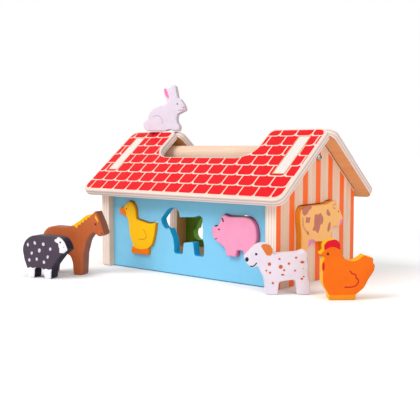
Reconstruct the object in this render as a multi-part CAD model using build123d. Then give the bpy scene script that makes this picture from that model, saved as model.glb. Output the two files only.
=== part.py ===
from build123d import *
import os
from math import cos, radians, sin, tan

# Farmhouse shape sorter: a wooden house on which the two roof panels leave an opening
# round a carrying handle, with a shaped slot in its walls for each of eight animals.
# X runs along the front wall, Y to the back and Z up, in millimetres. The origin is
# the middle of the underside of the floor panel.

# House
house_length = 250.0        # over the outer faces of the two gables
house_depth = 148.0         # width of a gable
eave_height = 92.0          # upright edge of a gable
roof_angle = 38.5           # slope of both roof panels, in degrees
gable_thickness = 12.5
wall_thickness = 9.0
wall_recess = 7.0           # front and back walls lie this far inside the gable edges
wall_lift = 1.0             # their lower edges stay this far off the table
floor_thickness = 12.0
gable_foot_radius = 3.0     # bottom corners of the gables
gable_easing = 0.6          # broken edges of the gables

# Roof panels
roof_thickness = 8.5
roof_length = 283.0         # along the ridge
roof_slope_length = 109.5   # from the ridge edge down to the eave edge
roof_corner_radius = 9.0
roof_easing = 1.0           # rounded edges of the panels
ridge_gap = 0.25            # from the ridge line down to the edge of each panel

# Opening in both panels, round the handle
notch_width = 138.0
notch_depth = 48.0          # down the slope, from the ridge line
notch_corner_radius = 20.0
notch_lip_radius = 7.0      # where the opening runs out at the ridge

# Tabs on top of the gables that pass up through the roof panels
tab_start = 13.7            # down the slope, from the ridge line
tab_length = 57.6
tab_fit = 0.3               # clearance all round a tab

# Handle and the two screws that hold it
handle_diameter = 24.0
handle_clearance = 5.9      # between the handle and the underside of the roof
screw_diameter = 3.5
screw_head_diameter = 8.0
screw_head_height = 3.0
screw_length = 38.0
screw_slot_width = 0.9      # cross recess in the head
screw_slot_length = 4.4
screw_slot_depth = 1.6
screw_fit = 0.05            # clearance round a shank

# Glued pins that hold the walls and the floor between the gables
pin_diameter = 5.0
pin_length = 18.0
pin_in_gable = 8.5          # how far a pin reaches into its gable
pin_fit = 0.05              # clearance round a pin and at its ends
wall_pin_heights = (14.0, 86.0)
floor_pin_spacing = 60.0    # between the two pins at each end of the floor

# Animals and their slots
animal_thickness = 15.0
animal_easing = 1.0         # broken edges of an animal
soft_radius = 14.0          # largest rounding of an outline's gentle corners
slot_gap = 0.8              # between a slot and an animal standing in its middle
seat_gap = 0.3              # between a standing animal and what carries it

# Worked out from the sizes above
half_length = house_length / 2
half_depth = house_depth / 2
inner_half_length = half_length - gable_thickness
wall_outer_y = half_depth - wall_recess
wall_inner_y = wall_outer_y - wall_thickness
wall_middle_y = wall_outer_y - wall_thickness / 2
slope_cos = cos(radians(roof_angle))
slope_sin = sin(radians(roof_angle))
slope_tan = tan(radians(roof_angle))
ridge_height = eave_height + half_depth * slope_tan
handle_height = ridge_height - (handle_diameter / 2 + handle_clearance) / slope_cos
tab_end = tab_start + tab_length
ridge_top = ridge_height - ridge_gap * slope_sin + roof_thickness * slope_cos

# Outlines of the animals, seen from the printed face: u to the right of the middle of
# the feet and v up from them. A corner without a radius is rounded as far as its two
# sides allow, up to soft_radius.
duck_outline = [
    (-12.5, 0, 2.0), (15.0, 0, 2.0), (14.4, 7.5, 1.2), (21.0, 12.3), (25.0, 26.0),
    (27.0, 37.6, 1.8), (16.5, 35.2), (-4.2, 39.0, 3.0), (-5.2, 50.5), (-9.5, 57.5),
    (-15.5, 59.3), (-20.5, 56.2), (-24.2, 51.7), (-31.8, 49.8, 2.0), (-30.3, 44.6, 2.0),
    (-19.0, 40.6, 3.0), (-16.4, 34.0), (-15.0, 20.5), (-9.6, 9.2, 1.2), (-12.2, 5.0, 1.5),
]
pig_outline = [
    (-9.8, 0, 2.0), (2.8, 0, 2.0), (3.8, 7.0, 2.0), (12.0, 7.0, 2.0), (12.8, 0, 2.0),
    (23.8, 0, 2.0), (25.6, 11.0), (28.8, 21.5), (27.4, 32.0), (21.5, 39.8), (12.0, 41.0),
    (-6.5, 40.0, 3.0), (-13.5, 41.8, 2.0), (-17.0, 39.6, 2.0), (-18.0, 34.5),
    (-22.0, 29.3, 3.0), (-29.3, 28.4, 2.0), (-29.2, 21.0), (-25.5, 15.5),
    (-12.0, 8.2, 3.0),
]
dog_outline = [
    (-20.8, 0, 2.0), (-9.4, 0, 2.0), (-8.0, 12.6, 3.0), (6.8, 14.6, 3.0), (9.0, 0, 2.0),
    (21.2, 0, 2.0), (21.0, 13.0), (18.8, 18.8), (19.7, 26.8), (18.4, 34.0),
    (19.4, 39.5, 2.0), (15.0, 42.2, 1.8), (8.6, 39.8), (-13.4, 38.4, 1.5),
    (-15.2, 46.0), (-20.0, 48.6), (-26.8, 48.2), (-32.0, 44.8), (-40.6, 35.4, 1.8),
    (-38.5, 30.0), (-34.3, 25.6), (-28.0, 27.2, 2.0), (-22.2, 15.8), (-20.6, 7.0),
]
cow_outline = [
    (-38.9, 0, 2.0), (-28.4, 0, 2.0), (-27.0, 11.8, 2.0), (-17.0, 18.6), (-11.5, 17.0),
    (3.0, 16.6, 4.0), (5.2, 0, 2.0), (17.2, 0, 2.0), (17.6, 24.0), (20.5, 30.6),
    (34.8, 29.8), (39.6, 33.4), (40.4, 38.6), (28.6, 54.2), (25.0, 57.2, 2.0),
    (16.5, 57.2), (8.5, 54.8), (-35.0, 54.4), (-40.2, 50.6), (-41.0, 44.0),
    (-39.2, 31.5), (-38.2, 26.0),
]
hen_outline = [
    (-12.2, 0, 1.5), (11.9, 0, 1.5), (12.4, 5.0, 2.0), (20.0, 11.0), (23.5, 18.5),
    (29.0, 26.8), (29.6, 31.8, 2.4), (27.8, 34.0, 1.6), (28.2, 38.6, 2.4), (23.2, 39.2, 1.6),
    (19.8, 41.2, 2.4), (11.8, 34.6), (1.6, 37.4, 3.0),
    (-1.4, 44.5), (-2.2, 52.0), (-6.0, 55.6), (-15.0, 53.6), (-17.2, 49.5),
    (-16.6, 45.2, 1.5), (-21.4, 41.6, 1.3), (-15.8, 39.4, 1.5), (-18.9, 32.0),
    (-17.6, 25.0), (-17.8, 14.5), (-12.0, 5.0, 1.5),
]
sheep_outline = [
    (-14.2, 0, 2.0), (-7.1, 0, 2.0), (-6.1, 10.8, 2.5), (2.6, 11.2, 2.5), (7.1, 0, 2.0),
    (14.0, 0, 2.0), (14.4, 11.2), (26.4, 25.4), (35.1, 31.7, 1.8), (31.7, 39.4),
    (26.8, 44.3), (20.3, 45.1), (-2.0, 45.7), (-10.2, 44.7), (-18.1, 39.2),
    (-21.2, 30.5), (-19.1, 19.3), (-15.8, 10.7),
]
horse_outline = [
    (-42.4, 0, 2.0), (-31.6, 0, 2.0), (-30.2, 9.3), (-26.6, 19.0), (-18.0, 23.1),
    (-9.6, 21.4), (-6.8, 13.4), (-5.6, 0, 2.0), (5.0, 0, 2.0), (6.4, 23.2), (10.5, 38.1),
    (18.3, 48.0, 4.1), (26.2, 42.6, 3.1), (32.1, 45.5, 2.6), (28.0, 57.7), (21.8, 70.9, 1.3),
    (18.5, 67.2, 2.1), (10.9, 65.7), (2.7, 59.5), (-7.0, 53.4), (-14.6, 51.7), (-30.9, 52.4),
    (-38.1, 50.1), (-43.5, 43.8), (-43.1, 28.8), (-42.6, 17.0),
]
rabbit_outline = [
    (-21.0, 0, 2.0), (1.5, 0), (6.0, 2.2), (9.6, 0), (17.2, 0, 1.5), (18.8, 5.0),
    (14.0, 12.0), (15.6, 19.8, 2.5), (25.6, 24.6, 1.8), (24.0, 31.0), (19.3, 38.0),
    (15.9, 38.9, 2.0), (13.4, 53.6), (10.2, 55.2), (4.8, 50.6), (2.9, 49.0, 1.2),
    (-0.8, 51.8, 1.3), (-0.6, 44.6), (3.0, 35.0), (1.8, 31.6), (-8.0, 29.4), (-15.0, 26.2),
    (-19.5, 20.0), (-21.2, 13.4, 1.5), (-26.0, 11.5), (-26.4, 5.5), (-23.6, 1.6, 1.2),
]

outlines = {
    "duck": duck_outline,
    "pig": pig_outline,
    "dog": dog_outline,
    "cow": cow_outline,
    "hen": hen_outline,
    "sheep": sheep_outline,
    "horse": horse_outline,
    "rabbit": rabbit_outline,
}

# Where each slot lies: along its wall from the middle, to the right from outside on a
# gable and towards +X on a wall, and the height of the feet of an animal that stands
# in the middle of it
front_slots = {
    "duck": (45.5 - inner_half_length, 18.5),
    "dog": (6.0, 23.8),
    "pig": (inner_half_length - 40.5, 28.5),
}
back_slots = {
    "rabbit": (40.5 - inner_half_length, 21.0),
    "hen": (-4.0, 20.8),
    "sheep": (inner_half_length - 45.5, 26.0),
}
right_gable_slots = {"cow": (0.0, 25.5)}
left_gable_slots = {"horse": (2.4, 19.3)}

# How far the printed face of an animal that stands in its slot lies outside the wall
duck_standout = 4.0
pig_standout = 5.5
cow_standout = 6.3

# Where the loose animals stand: their feet from the nearest front corner of the house,
# and how far they and a gable are turned about Z from the front wall, in degrees
dog_place = (20.7, -9.1)
hen_place = (71.9, 3.3)
sheep_place = (19.2, -105.1)
horse_place = (34.2, -65.0)
rabbit_place = 33.5         # along the ridge, from the outer face of the left gable
turns = {"dog": 42.0, "hen": 43.0, "sheep": 18.0, "horse": 21.0, "rabbit": 32.0, "gable": 90.0}


def roof_point(slope_distance, lift, side):
    """A point (y, z) on the slope, lifted off its underside; side is -1 at the front."""
    y = slope_distance * slope_cos + lift * slope_sin
    z = ridge_height - slope_distance * slope_sin + lift * slope_cos
    return (side * y, z)


def roof_underside(y):
    """Height of the underside of the roof at this distance from the middle."""
    return ridge_height - abs(y) * slope_tan


def corner_radius(before, corner, after):
    """Radius of one corner of an outline, as asked for or as large as its sides allow."""
    first = Vector(*corner[:2]) - Vector(*before[:2])
    second = Vector(*after[:2]) - Vector(*corner[:2])
    reach = tan(radians(first.get_angle(second)) / 2)
    room = 0.49 * min(first.length, second.length) / reach
    wanted = corner[2] if len(corner) > 2 else soft_radius
    return min(wanted, room)


def outline_face(outline):
    """Flat face inside an outline of corners (u, v) or (u, v, radius)."""
    count = len(outline)
    radii = [
        corner_radius(outline[i - 1], outline[i], outline[(i + 1) % count])
        for i in range(count)
    ]
    corners = [corner[:2] for corner in outline]
    return make_face(FilletPolyline(*corners, radius=radii, close=True).edges())


def standing_plane(x, y, z, turn):
    """Plane of a printed face: u level, v up, and its normal out towards the viewer."""
    along = (cos(radians(turn)), sin(radians(turn)), 0)
    outward = (sin(radians(turn)), -cos(radians(turn)), 0)
    return Plane(origin=(x, y, z), x_dir=along, z_dir=outward)


def animal(outline, place):
    """Animal cut from a board, with broken edges on both faces."""
    body = extrude(outline_face(outline), -animal_thickness)
    faces = body.faces().sort_by(Axis.Z)
    body = chamfer(faces[0].edges() + faces[-1].edges(), animal_easing)
    return place * body


def slot_cutter(outline, place, depth):
    """Slot through a wall: the outline of its animal, larger by the slot gap."""
    opening = offset(outline_face(outline), amount=slot_gap, kind=Kind.ARC)
    return place * extrude(opening, -depth)


def rod(diameter, length, x, y, z):
    """Round rod along X, starting at the given point."""
    plane = Plane(origin=(x, y, z), x_dir=(0, 1, 0), z_dir=(1, 0, 0))
    return plane * extrude(Circle(diameter / 2), length)


def pin_rows():
    """Middle (side, y, z) of each pin, at the joint faces of the two gables."""
    walls = [
        (side, y, z)
        for side in (-1, 1)
        for y in (-wall_middle_y, wall_middle_y)
        for z in wall_pin_heights
    ]
    floor = [
        (side, y, floor_thickness / 2)
        for side in (-1, 1)
        for y in (-floor_pin_spacing / 2, floor_pin_spacing / 2)
    ]
    return walls, floor


def pin(side, y, z, clearance=0.0):
    """One glued pin, or with a clearance the hole for it."""
    outer = inner_half_length + pin_in_gable + clearance
    inner = inner_half_length - (pin_length - pin_in_gable) - clearance
    start = -outer if side < 0 else inner
    return rod(pin_diameter + 2 * clearance, outer - inner, start, y, z)


def pin_holes():
    """Holes for all the pins."""
    walls, floor = pin_rows()
    return [pin(*place, clearance=pin_fit) for place in walls + floor]


def ease_free_edges(plate, side):
    """Break the outer edges of a gable that the roof leaves free."""
    outer = plate.faces().sort_by(Axis.X)[-1 if side > 0 else 0]
    free = [
        edge for edge in outer.edges()
        if edge.bounding_box().min.Z < eave_height - 1
    ]
    return chamfer(free, gable_easing)


def gable(side, slots):
    """Gable with its pointed top, a tab on each slope and its slot."""
    eave = half_depth / slope_cos
    back_edge = [
        roof_point(eave, 0, 1),
        roof_point(tab_end, 0, 1),
        roof_point(tab_end, roof_thickness, 1),
        roof_point(tab_start, roof_thickness, 1),
        roof_point(tab_start, 0, 1),
    ]
    front_edge = [(-y, z) for y, z in reversed(back_edge)]
    corners = [(-half_depth, 0), (half_depth, 0)]
    corners += back_edge + [(0, ridge_height)] + front_edge
    radii = [gable_foot_radius] * 2 + [0.0] * (len(corners) - 2)
    profile = make_face(FilletPolyline(*corners, radius=radii, close=True).edges())
    inner_face = Plane(origin=(side * inner_half_length, 0, 0), x_dir=(0, 1, 0), z_dir=(1, 0, 0))
    plate = inner_face * extrude(profile, side * gable_thickness)
    plate = ease_free_edges(plate, side)
    for name, (along, height) in slots.items():
        turn = side * turns["gable"]
        place = standing_plane(side * half_length, along * side, height, turn)
        plate -= slot_cutter(outlines[name], place, gable_thickness)
    screw_hole = screw_diameter + 2 * screw_fit
    plate -= rod(screw_hole, house_length, -half_length, 0, handle_height)
    return plate - pin_holes()


def wall(side, slots):
    """Front or back wall: its top edge is bevelled to the slope of the roof."""
    outer = side * wall_outer_y
    inner = side * wall_inner_y
    corners = [
        (outer, wall_lift),
        (inner, wall_lift),
        (inner, roof_underside(inner)),
        (outer, roof_underside(outer)),
    ]
    end = Plane(origin=(-inner_half_length, 0, 0), x_dir=(0, 1, 0), z_dir=(1, 0, 0))
    profile = make_face(Polyline(*corners, close=True).edges())
    plate = end * extrude(profile, 2 * inner_half_length)
    front_face = min(inner, outer)
    for name, (along, height) in slots.items():
        place = standing_plane(along, front_face, height, 0)
        plate -= slot_cutter(outlines[name], place, wall_thickness)
    return plate - pin_holes()


def floor_panel():
    """Floor between the walls and the gables."""
    panel = Box(
        2 * inner_half_length,
        2 * wall_inner_y,
        floor_thickness,
        align=(Align.CENTER, Align.CENTER, Align.MIN),
    )
    return panel - pin_holes()


def roof_panel():
    """Front roof panel, with the opening round the handle and a slot for each tab."""
    eave = -(ridge_gap + roof_slope_length)
    half_roof = roof_length / 2
    half_notch = notch_width / 2
    corners = [
        (-half_roof, -ridge_gap, roof_corner_radius),
        (-half_roof, eave, roof_corner_radius),
        (half_roof, eave, roof_corner_radius),
        (half_roof, -ridge_gap, roof_corner_radius),
        (half_notch, -ridge_gap, notch_lip_radius),
        (half_notch, -notch_depth, notch_corner_radius),
        (-half_notch, -notch_depth, notch_corner_radius),
        (-half_notch, -ridge_gap, notch_lip_radius),
    ]
    panel = extrude(outline_face(corners), roof_thickness)
    faces = panel.faces().sort_by(Axis.Z)
    panel = fillet(faces[0].edges() + faces[-1].edges(), roof_easing)
    tab_middle_x = half_length - gable_thickness / 2
    for side in (-1, 1):
        slot = Box(
            gable_thickness + 2 * tab_fit,
            tab_length + 2 * tab_fit,
            2 * roof_thickness,
            align=(Align.CENTER, Align.MAX, Align.CENTER),
        )
        panel -= Pos(side * tab_middle_x, -tab_start + tab_fit, roof_thickness / 2) * slot
    slope = Plane(
        origin=(0, 0, ridge_height),
        x_dir=(1, 0, 0),
        z_dir=(0, -slope_sin, slope_cos),
    )
    return slope * panel


def handle_screw(side):
    """Round-headed screw through a gable into the end of the handle."""
    head = handle_screw_head()
    shank = extrude(Circle(screw_diameter / 2), -screw_length)
    recess = Box(screw_slot_length, screw_slot_width, screw_slot_depth)
    recess += Box(screw_slot_width, screw_slot_length, screw_slot_depth)
    head -= Pos(0, 0, screw_head_height) * recess
    place = Plane(
        origin=(side * half_length, 0, handle_height),
        x_dir=(0, 1, 0),
        z_dir=(side, 0, 0),
    )
    return place * (head + shank)


def handle_screw_head():
    """Domed head, flat underneath."""
    reach = screw_head_diameter / 2
    dome = ThreePointArc(
        (reach, 0),
        (reach * cos(radians(45)), screw_head_height * sin(radians(45))),
        (0, screw_head_height),
    )
    profile = make_face(dome.edges() + Polyline((0, screw_head_height), (0, 0), (reach, 0)).edges())
    return revolve(Plane.XZ * profile, Axis.Z)


def handle_dowel():
    """Round carrying handle between the gables, bored at both ends for its screws."""
    dowel = rod(handle_diameter, 2 * inner_half_length, -inner_half_length, 0, handle_height)
    reach = screw_length - gable_thickness + screw_fit
    bore = screw_diameter + 2 * screw_fit
    for start in (-inner_half_length, inner_half_length - reach):
        dowel -= rod(bore, reach, start, 0, handle_height)
    return dowel


def in_slot(name, slots, x, y, turn):
    """Place of an animal that stands on the lower edge of its slot."""
    height = slots[name][1] - slot_gap + seat_gap
    return standing_plane(x, y, height, turn)


def beside_house(side, place, turn):
    """Place of a loose animal, from the front corner of the house on that side."""
    x, y = place
    return standing_plane(side * half_length + x, -half_depth + y, 0, turn)


def on_ridge(place, turn):
    """Place of the animal that stands on the two edges of the ridge."""
    middle = standing_plane(place - half_length, 0, ridge_top + seat_gap, turn)
    return middle * Pos(0, 0, animal_thickness / 2)


duck_x = front_slots["duck"][0]
pig_x = front_slots["pig"][0]
cow_y = right_gable_slots["cow"][0]
wall_pins, floor_pins = pin_rows()
front_roof = roof_panel()

nodes = {
    "left_gable": gable(-1, left_gable_slots),
    "right_gable": gable(1, right_gable_slots),
    "front_wall": wall(-1, front_slots),
    "back_wall": wall(1, back_slots),
    "floor_panel": floor_panel(),
    "front_roof": front_roof,
    "back_roof": mirror(front_roof, about=Plane.XZ),
    "handle_dowel": handle_dowel(),
    "handle_screws": Compound([handle_screw(-1), handle_screw(1)]),
    "wall_pins": Compound([pin(*place) for place in wall_pins]),
    "floor_pins": Compound([pin(*place) for place in floor_pins]),
    "duck": animal(
        duck_outline,
        in_slot("duck", front_slots, duck_x, -wall_outer_y - duck_standout, 0),
    ),
    "pig": animal(
        pig_outline,
        in_slot("pig", front_slots, pig_x, -wall_outer_y - pig_standout, 0),
    ),
    "cow": animal(
        cow_outline,
        in_slot("cow", right_gable_slots, half_length + cow_standout, cow_y, turns["gable"]),
    ),
    "dog": animal(dog_outline, beside_house(1, dog_place, turns["dog"])),
    "hen": animal(hen_outline, beside_house(1, hen_place, turns["hen"])),
    "sheep": animal(sheep_outline, beside_house(-1, sheep_place, turns["sheep"])),
    "horse": animal(horse_outline, beside_house(-1, horse_place, turns["horse"])),
    "rabbit": animal(rabbit_outline, on_ridge(rabbit_place, turns["rabbit"])),
}

os.makedirs("parts", exist_ok=True)
for name, shape in nodes.items():
    export_step(shape, f"parts/{name}.step")
    print(name, round(shape.volume / 1000, 2), "cm3")
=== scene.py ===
"""Finish of a farmhouse shape sorter: its painted walls, printed roof and eight wooden animals.

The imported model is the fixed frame. Each board is shown as a smoothed copy of its own solid,
with its own finish on its face, its edge and its back, and each print is a thin film of paint
on it. Lengths are in millimetres in the classes below, and MM turns them into metres.
"""

from __future__ import annotations

import logging
import math
from dataclasses import dataclass
from enum import Enum
from typing import Callable, ClassVar, Optional, Sequence, Union

import bmesh
import bpy
from bmesh.types import BMesh, BMFace, BMVert
from bpy.types import Material, Node, NodeOutputs, NodeSocket, NodeTree, Object
from mathutils import Matrix, Vector

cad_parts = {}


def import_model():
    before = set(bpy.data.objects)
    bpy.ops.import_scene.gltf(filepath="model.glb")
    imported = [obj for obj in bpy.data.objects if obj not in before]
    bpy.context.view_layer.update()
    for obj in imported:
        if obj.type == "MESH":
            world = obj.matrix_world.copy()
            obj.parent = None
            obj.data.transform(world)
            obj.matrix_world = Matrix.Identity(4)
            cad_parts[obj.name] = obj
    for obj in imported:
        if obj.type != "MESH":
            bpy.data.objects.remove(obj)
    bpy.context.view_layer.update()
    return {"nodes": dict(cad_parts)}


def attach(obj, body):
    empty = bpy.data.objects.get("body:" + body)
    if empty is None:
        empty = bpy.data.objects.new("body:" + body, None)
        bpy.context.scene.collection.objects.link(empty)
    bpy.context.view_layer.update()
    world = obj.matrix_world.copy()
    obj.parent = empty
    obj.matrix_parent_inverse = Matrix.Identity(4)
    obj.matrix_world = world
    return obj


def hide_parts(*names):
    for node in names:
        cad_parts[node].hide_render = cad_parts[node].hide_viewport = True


LOG = logging.getLogger("farmhouse")

MM = 0.001
FILM = 0.10             # thickness of a film of paint
MERGE_DISTANCE = 2e-6   # metres: corners closer than this are one corner
SHARP_ANGLE = 50.0      # degrees: edges that turn more than this stay sharp
FACE_SHARE = 0.97       # a face looks a way where its normal has this share of it

Value = Union[NodeSocket, float, Sequence[float]]
Inputs = dict[Union[int, str], Value]
Color = tuple[int, int, int]
Point = tuple[float, float]
Point3 = tuple[float, float, float]


# Shader building

MIX_FACTOR, MIX_FIRST, MIX_SECOND, MIX_RESULT = 0, 6, 7, 2   # a Mix node's sockets for colours


def linear(rgb: Sequence[float]) -> tuple[float, float, float, float]:
    """Turn a display colour, from 0 to 255, into a shader's linear one with an alpha of 1."""
    shares = [value / 255 for value in rgb]
    lit = [s / 12.92 if s <= 0.04045 else ((s + 0.055) / 1.055) ** 2.4 for s in shares]
    return (lit[0], lit[1], lit[2], 1.0)


@dataclass(frozen=True)
class Pattern:
    """Noise, and the marks made of it.

    Attributes:
        repeats: How often it repeats in a metre, twice across the grain and once along it.
        detail: Its octaves.
        roughness: Strength of its finer octaves.
        marks: Noise at which a dark mark begins, and at which it is full.
        share: How dark a full mark is.
    """

    repeats: Point3
    detail: float
    roughness: float = 0.5
    marks: tuple[float, float] = (0.0, 1.0)
    share: float = 1.0


class Graph:
    """One shader tree, with short calls that add a node and fill its inputs."""

    def __init__(self, tree: NodeTree) -> None:
        """Keep the tree that the nodes go into."""
        self.tree = tree

    def fill(self, node: Node, inputs: Inputs) -> None:
        """Link a socket into each of these inputs, or set its plain value."""
        for name, value in inputs.items():
            if isinstance(value, NodeSocket):
                self.tree.links.new(value, node.inputs[name])
            else:
                node.inputs[name].default_value = value

    def node(self, kind: str, inputs: Optional[Inputs] = None, **settings: object) -> Node:
        """Add a node, with what goes into its inputs, by name or number, and its own settings."""
        made = self.tree.nodes.new(kind)
        for name, value in settings.items():
            setattr(made, name, value)
        self.fill(made, inputs or {})
        return made

    def math(self, operation: str, *values: Value, clamp: bool = False) -> NodeSocket:
        """Add a Math node and return its result's socket. Clamped, it stays between 0 and 1."""
        inputs = dict(enumerate(values))
        return self.node("ShaderNodeMath", inputs, operation=operation, use_clamp=clamp).outputs[0]

    def blend(self, factor: Value, first: Value, second: Value) -> NodeSocket:
        """Mix two colours by a factor and return the mixed colour's socket."""
        inputs = {MIX_FACTOR: factor, MIX_FIRST: first, MIX_SECOND: second}
        return self.node("ShaderNodeMix", inputs, data_type="RGBA").outputs[MIX_RESULT]

    def turned(self, place: Value, turns: Sequence[float]) -> NodeSocket:
        """Turn a place by an angle in degrees about each axis and return its socket."""
        inputs = {"Vector": place, "Rotation": [math.radians(turn) for turn in turns]}
        return self.node("ShaderNodeMapping", inputs).outputs["Vector"]

    def noise(self, place: Value, pattern: Pattern) -> NodeSocket:
        """Add a pattern's noise at a place and return its factor."""
        scaled = self.node("ShaderNodeVectorMath", {0: place, 1: pattern.repeats}, operation="MULTIPLY")
        inputs = {
            "Vector": scaled.outputs[0], "Scale": 1.0,
            "Detail": pattern.detail, "Roughness": pattern.roughness,
        }
        return self.node("ShaderNodeTexNoise", inputs).outputs["Fac"]

    def smooth_step(self, value: Value, low: float, high: float) -> NodeSocket:
        """Rise smoothly from 0 at low to 1 at high and return the result's socket."""
        inputs = {"Value": value, "From Min": low, "From Max": high}
        return self.node("ShaderNodeMapRange", inputs, interpolation_type="SMOOTHSTEP").outputs["Result"]

    def group(self, tree: NodeTree, inputs: Inputs) -> NodeOutputs:
        """Add a shared group and return its outputs."""
        return self.node("ShaderNodeGroup", inputs, node_tree=tree).outputs


class SharedGroups:
    """Shader groups that several finishes use, each built once."""

    BANDS: ClassVar[Pattern] = Pattern((90.0, 90.0, 7.0), 2.0, marks=(0.32, 0.68), share=0.45)
    FIBRES: ClassVar[Pattern] = Pattern((1100.0, 1100.0, 28.0), 4.0, 0.6, marks=(0.30, 0.75), share=0.50)
    PORES: ClassVar[Pattern] = Pattern((2600.0, 2600.0, 160.0), 1.0, marks=(0.62, 0.74), share=0.35)
    LAYERS: ClassVar[Pattern] = Pattern((60.0, 60.0, 60.0), 2.0, marks=(0.32, 0.68), share=0.75)
    LAYER_WAVER: ClassVar[float] = 0.3      # of a layer's thickness
    SPECKS: ClassVar[Pattern] = Pattern((1500.0, 1500.0, 1500.0), 3.0, 0.6, share=0.35)
    CLOUD: ClassVar[Pattern] = Pattern((70.0, 70.0, 70.0), 3.0, 0.6, marks=(0.3, 0.75), share=0.3)
    COATED_FIBRES: ClassVar[Pattern] = Pattern((900.0, 900.0, 40.0), 3.0, 0.6, marks=(0.35, 0.8))
    PEEL: ClassVar[Pattern] = Pattern((1800.0, 1800.0, 1800.0), 2.0)
    COAT_ROUGHNESS: ClassVar[tuple[float, float]] = (0.18, 0.36)    # by the cloud, and least

    def __init__(self) -> None:
        """Build the groups."""
        self.grain = self._grain()
        self.layers = self._layers()
        self.coat = self._coat()

    @staticmethod
    def _start(
        name: str, inputs: dict[str, str], outputs: dict[str, str]
    ) -> tuple[Graph, NodeOutputs, Node]:
        """Start a group, with the kind of each of its sockets by name.

        Returns:
            The group's graph, what is given to it, and the node that takes its results.
        """
        tree = bpy.data.node_groups.new(name, "ShaderNodeTree")
        for direction, sockets in (("INPUT", inputs), ("OUTPUT", outputs)):
            for title, kind in sockets.items():
                tree.interface.new_socket(title, in_out=direction, socket_type=f"NodeSocket{kind}")
        graph = Graph(tree)
        return graph, graph.node("NodeGroupInput").outputs, graph.node("NodeGroupOutput")

    @staticmethod
    def _two_tone(graph: Graph, given: NodeOutputs, results: Node, share: Value) -> None:
        """End a group of two colours, whose dark share lies deeper."""
        graph.fill(results, {
            "Color": graph.blend(share, given["Light"], given["Dark"]),
            "Height": graph.math("SUBTRACT", 1.0, share),
        })

    def _grain(self) -> NodeTree:
        """Wood grain along the vector's Z: broad bands, fine fibres and short pores."""
        graph, given, results = self._start(
            "WoodGrain",
            {"Vector": "Vector", "Light": "Color", "Dark": "Color"},
            {"Color": "Color", "Height": "Float"},
        )
        share: Value = 0.0
        for pattern in (self.FIBRES, self.BANDS, self.PORES):
            marks = graph.smooth_step(graph.noise(given["Vector"], pattern), *pattern.marks)
            share = graph.math("MULTIPLY_ADD", marks, pattern.share, share, clamp=True)
        self._two_tone(graph, given, results, share)
        return graph.tree

    def _layers(self) -> NodeTree:
        """Edge of plywood: light and dark layers by the distance across the board."""
        graph, given, results = self._start(
            "PlyLayers",
            {"Across": "Float", "Vector": "Vector", "Layer": "Float", "Light": "Color", "Dark": "Color"},
            {"Color": "Color", "Height": "Float"},
        )
        waver = graph.noise(given["Vector"], self.LAYERS)
        steps = graph.math("DIVIDE", given["Across"], given["Layer"])
        wave = graph.math("PINGPONG", graph.math("MULTIPLY_ADD", waver, self.LAYER_WAVER, steps), 1.0)
        share = graph.math("MULTIPLY", graph.smooth_step(wave, *self.LAYERS.marks), self.LAYERS.share)
        specks = graph.noise(given["Vector"], self.SPECKS)
        share = graph.math("MULTIPLY_ADD", specks, self.SPECKS.share, share, clamp=True)
        self._two_tone(graph, given, results, share)
        return graph.tree

    def _coat(self) -> NodeTree:
        """Coat of paint on wood: faint clouds, the grain beneath it and a fine peel."""
        graph, given, results = self._start(
            "PaintCoat",
            {"Vector": "Vector", "Paint": "Color", "Shade": "Color", "Grain": "Float"},
            {"Color": "Color", "Roughness": "Float", "Height": "Float"},
        )
        cloud, fibres, peel = (
            graph.noise(given["Vector"], pattern) for pattern in (self.CLOUD, self.COATED_FIBRES, self.PEEL)
        )
        lines = graph.math("MULTIPLY", graph.smooth_step(fibres, *self.COATED_FIBRES.marks), given["Grain"])
        patches = graph.smooth_step(cloud, *self.CLOUD.marks)
        share = graph.math("MULTIPLY_ADD", patches, self.CLOUD.share, lines, clamp=True)
        graph.fill(results, {
            "Color": graph.blend(share, given["Paint"], given["Shade"]),
            "Roughness": graph.math("MULTIPLY_ADD", cloud, *self.COAT_ROUGHNESS),
            "Height": graph.math("MULTIPLY_ADD", fibres, given["Grain"], peel),
        })
        return graph.tree


class GrainAxis(Enum):
    """Way that the wood's fibres run, as the turns that lay a pattern's Z along it."""

    X = (0.0, -90.0, 0.0)
    Z = (0.0, 0.0, 0.0)


class Canvas(Graph):
    """Shader tree of one material, with the shared groups and the places on the board."""

    def __init__(self, tree: NodeTree, groups: SharedGroups, slope: float, grain: GrainAxis) -> None:
        """Find the places on a board with this slope about X, in degrees, and this grain."""
        super().__init__(tree)
        self.groups = groups
        place = self.node("ShaderNodeTexCoord").outputs["Object"]
        self.board = self.turned(place, (slope, 0.0, 0.0))
        self.along = self.turned(self.board, grain.value)


@dataclass(frozen=True)
class Finish:
    """What all finishes share: a name, the way of the grain and a board's slope about X."""

    BUMP: ClassVar[float] = 0.35
    DEPTH: ClassVar[float] = 0.0    # of its relief

    name: str
    grain: GrainAxis = GrainAxis.Z
    slope: float = 0.0

    def surface(self, canvas: Canvas) -> tuple[Inputs, Value]:
        """Give the inputs of the material's shader, and the height of its relief."""
        raise NotImplementedError

    def build(self, groups: SharedGroups) -> Material:
        """Make the material from the shared groups."""
        material = bpy.data.materials.new(self.name)
        material.use_nodes = True
        canvas = Canvas(material.node_tree, groups, self.slope, self.grain)
        inputs, height = self.surface(canvas)
        bump = {"Strength": self.BUMP, "Distance": self.DEPTH * MM, "Height": height}
        inputs["Normal"] = canvas.node("ShaderNodeBump", bump).outputs["Normal"]
        canvas.fill(material.node_tree.nodes["Principled BSDF"], inputs)
        return material


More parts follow.
